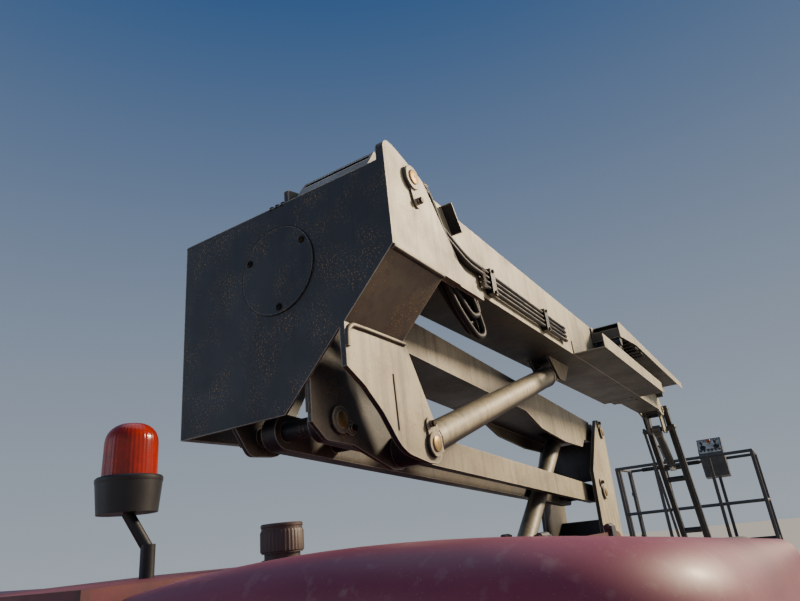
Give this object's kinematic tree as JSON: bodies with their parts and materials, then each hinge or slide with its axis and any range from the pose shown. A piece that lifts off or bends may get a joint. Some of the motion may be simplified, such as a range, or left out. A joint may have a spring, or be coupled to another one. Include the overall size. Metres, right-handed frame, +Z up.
{
  "type": "articulated boom lift",
  "caption": "Self-propelled articulated boom lift with parallelogram lower arms, telescopic boom, jib and basket, folded for travel.",
  "frame": {"origin": "on the ground, under the middle of the whole machine's box, between its left and right tyres", "axes": "+X from the tail to the basket, +Y to the machine's left, +Z up"},
  "size_m": [8.19, 2.4, 2.8],
  "materials": {
    "cream_paint": "weathered satin paint",
    "red_gel_coat": "faded gloss",
    "red_paint": "faded satin paint",
    "grey_paint": "satin paint",
    "rod_chrome": "polished",
    "rim_paint": "satin paint",
    "tyre_rubber": "matt rubber",
    "engine_metal": "cast",
    "tank_plastic": "moulded",
    "dark_plastic": "moulded",
    "amber_lens": "clear tinted",
    "floor_plate": "chequered plate"
  },
  "bodies": {
    "chassis": {"chassis_frame": "grey_paint", "front_axle": "grey_paint", "rear_axle": "grey_paint", "slew_ring": "grey_paint"},
    "turntable": {"turntable_frame": "red_paint", "mast": "cream_paint", "counterweight": "red_paint", "engine_block": "engine_metal", "tank_block": "tank_plastic", "filler_cap": "dark_plastic", "beacon_stalk": "dark_plastic", "beacon_lens": "amber_lens"},
    "hood_right_side": {"hood_right": "red_gel_coat"},
    "hood_left_side": {"hood_left": "red_gel_coat"},
    "upper_arm_beam": {"upper_arm": "cream_paint"},
    "lower_link_bars": {"lower_link": "cream_paint"},
    "knuckle": {"knuckle_box": "cream_paint", "knuckle_cover": "cream_paint"},
    "arm_barrel": {"arm_cylinder_barrel": "cream_paint"},
    "arm_rod": {"arm_cylinder_rod": "rod_chrome"},
    "boom": {"boom_base": "cream_paint", "track_tray": "cream_paint"},
    "boom_second": {"boom_mid": "cream_paint"},
    "boom_third": {"boom_tip": "cream_paint", "track_rail": "cream_paint"},
    "boom_barrel": {"boom_cylinder_barrel": "cream_paint"},
    "boom_rod": {"boom_cylinder_rod": "rod_chrome"},
    "head": {"jib_head": "cream_paint"},
    "jib": {"jib_tubes": "cream_paint"},
    "jib_bars": {"jib_link_bars": "cream_paint"},
    "jib_barrel": {"jib_cylinder_barrel": "cream_paint"},
    "jib_rod": {"jib_cylinder_rod": "rod_chrome"},
    "rotator": {"rotator_bracket": "cream_paint"},
    "basket": {"basket_floor": "floor_plate", "basket_rails": "grey_paint", "control_console": "dark_plastic"},
    "gate": {"basket_gate": "grey_paint"},
    "steer_left": {"steering_knuckle_left": "grey_paint"},
    "steer_right": {"steering_knuckle_right": "grey_paint"},
    "wheel_front_left": {"tyre_front_left": "tyre_rubber", "rim_front_left": "rim_paint"},
    "wheel_front_right": {"tyre_front_right": "tyre_rubber", "rim_front_right": "rim_paint"},
    "wheel_rear_left": {"tyre_rear_left": "tyre_rubber", "rim_rear_left": "rim_paint"},
    "wheel_rear_right": {"tyre_rear_right": "tyre_rubber", "rim_rear_right": "rim_paint"}
  },
  "joints": [
    {"name": "slew", "type": "hinge", "parent": "chassis", "child": "turntable", "pos_m": [-1.965, 0, 1.02], "axis": [0, 0, 1], "continuous": true},
    {"name": "hood_right_open", "type": "hinge", "parent": "turntable", "child": "hood_right_side", "pos_m": [-1.965, -0.318, 1.52], "axis": [-1, 0, 0], "range_deg": [0, 60]},
    {"name": "hood_left_open", "type": "hinge", "parent": "turntable", "child": "hood_left_side", "pos_m": [-1.965, 0.318, 1.52], "axis": [1, 0, 0], "range_deg": [0, 60]},
    {"name": "arm_lift", "type": "hinge", "parent": "turntable", "child": "upper_arm_beam", "pos_m": [0.013, 0, 2.16], "axis": [0, 1, 0], "range_deg": [0, 60]},
    {"name": "link_lift", "type": "hinge", "parent": "turntable", "child": "lower_link_bars", "pos_m": [-0.262, 0, 1.73], "axis": [0, 1, 0], "range_deg": [0, 60]},
    {"name": "knuckle_level", "type": "hinge", "parent": "upper_arm_beam", "child": "knuckle", "pos_m": [-2.88011, 0, 2.35977], "axis": [0, 1, 0], "range_deg": [-60, 0]},
    {"name": "arm_cylinder_swing", "type": "hinge", "parent": "turntable", "child": "arm_barrel", "pos_m": [-1.775, 0, 1.19], "axis": [0, -1, 0], "range_deg": [0, 4.87]},
    {"name": "arm_cylinder_stroke", "type": "slide", "parent": "arm_barrel", "child": "arm_rod", "axis": [0.8096, 0, 0.5869], "range_m": [0, 0.41403]},
    {"name": "boom_lift", "type": "hinge", "parent": "knuckle", "child": "boom", "pos_m": [-3.137, 0, 2.68], "axis": [0, -1, 0], "range_deg": [0, 70]},
    {"name": "boom_cylinder_swing", "type": "hinge", "parent": "knuckle", "child": "boom_barrel", "pos_m": [-2.825, 0, 1.853], "axis": [0, -1, 0], "range_deg": [0, 58.88]},
    {"name": "boom_cylinder_stroke", "type": "slide", "parent": "boom_barrel", "child": "boom_rod", "axis": [0.9525, 0, 0.3045], "range_m": [0, 0.91173]},
    {"name": "telescope_second", "type": "slide", "parent": "boom", "child": "boom_second", "axis": [1, 0, 0], "range_m": [0, 2.4]},
    {"name": "telescope_third", "type": "slide", "parent": "boom_second", "child": "boom_third", "axis": [1, 0, 0], "range_m": [0, 2.4]},
    {"name": "head_level", "type": "hinge", "parent": "boom_third", "child": "head", "pos_m": [2.165, 0, 2.56], "axis": [0, -1, 0], "range_deg": [-70, 0]},
    {"name": "jib_lift", "type": "hinge", "parent": "head", "child": "jib", "pos_m": [2.325, 0, 2.58], "axis": [0, -1, 0], "range_deg": [0, 95]},
    {"name": "jib_bars_lift", "type": "hinge", "parent": "head", "child": "jib_bars", "pos_m": [2.325, 0, 2.38], "axis": [0, -1, 0], "range_deg": [0, 95]},
    {"name": "basket_level", "type": "hinge", "parent": "jib", "child": "rotator", "pos_m": [3.00119, 0, 1.12991], "axis": [0, -1, 0], "range_deg": [-95, 0]},
    {"name": "jib_cylinder_swing", "type": "hinge", "parent": "head", "child": "jib_barrel", "pos_m": [2.176, 0, 2.367], "axis": [0, -1, 0], "range_deg": [0, 78.34]},
    {"name": "jib_cylinder_stroke", "type": "slide", "parent": "jib_barrel", "child": "jib_rod", "axis": [0.7526, 0, -0.6585], "range_m": [0, 0.32504]},
    {"name": "basket_swing", "type": "hinge", "parent": "rotator", "child": "basket", "pos_m": [3.12, -0.215, 1.03], "axis": [0, 0, 1], "range_deg": [-80, 80]},
    {"name": "gate_open", "type": "hinge", "parent": "basket", "child": "gate", "pos_m": [3.975, 0.535, 1.03], "axis": [0, 0, 1], "range_deg": [0, 85]},
    {"name": "steering_left", "type": "hinge", "parent": "chassis", "child": "steer_left", "pos_m": [-0.59, 0.76, 0.5], "axis": [0, 0, 1], "range_deg": [-30, 30]},
    {"name": "steering_right", "type": "hinge", "parent": "chassis", "child": "steer_right", "pos_m": [-0.59, -0.76, 0.5], "axis": [0, 0, 1], "range_deg": [-30, 30]},
    {"name": "roll_front_left", "type": "hinge", "parent": "steer_left", "child": "wheel_front_left", "pos_m": [-0.59, 1.02, 0.5], "axis": [0, 1, 0], "continuous": true},
    {"name": "roll_front_right", "type": "hinge", "parent": "steer_right", "child": "wheel_front_right", "pos_m": [-0.59, -1.02, 0.5], "axis": [0, 1, 0], "continuous": true},
    {"name": "roll_rear_left", "type": "hinge", "parent": "chassis", "child": "wheel_rear_left", "pos_m": [-3.34, 1.02, 0.5], "axis": [0, 1, 0], "continuous": true},
    {"name": "roll_rear_right", "type": "hinge", "parent": "chassis", "child": "wheel_rear_right", "pos_m": [-3.34, -1.02, 0.5], "axis": [0, 1, 0], "continuous": true}
  ],
  "couplings": [
    {"joint": "link_lift", "follows": "arm_lift", "ratio": 1},
    {"joint": "knuckle_level", "follows": "arm_lift", "ratio": -1},
    {"joint": "arm_cylinder_swing", "follows": "arm_lift", "ratio": 0.081108},
    {"joint": "arm_cylinder_stroke", "follows": "arm_lift", "m_per_rad": 0.39537},
    {"joint": "boom_cylinder_swing", "follows": "boom_lift", "ratio": 0.8411},
    {"joint": "boom_cylinder_stroke", "follows": "boom_lift", "m_per_rad": 0.74626},
    {"joint": "head_level", "follows": "boom_lift", "ratio": -1},
    {"joint": "telescope_third", "follows": "telescope_second", "ratio": 1},
    {"joint": "jib_bars_lift", "follows": "jib_lift", "ratio": 1},
    {"joint": "basket_level", "follows": "jib_lift", "ratio": -1},
    {"joint": "jib_cylinder_swing", "follows": "jib_lift", "ratio": 0.82468},
    {"joint": "jib_cylinder_stroke", "follows": "jib_lift", "m_per_rad": 0.19603},
    {"joint": "steering_right", "follows": "steering_left", "ratio": 1}
  ]
}
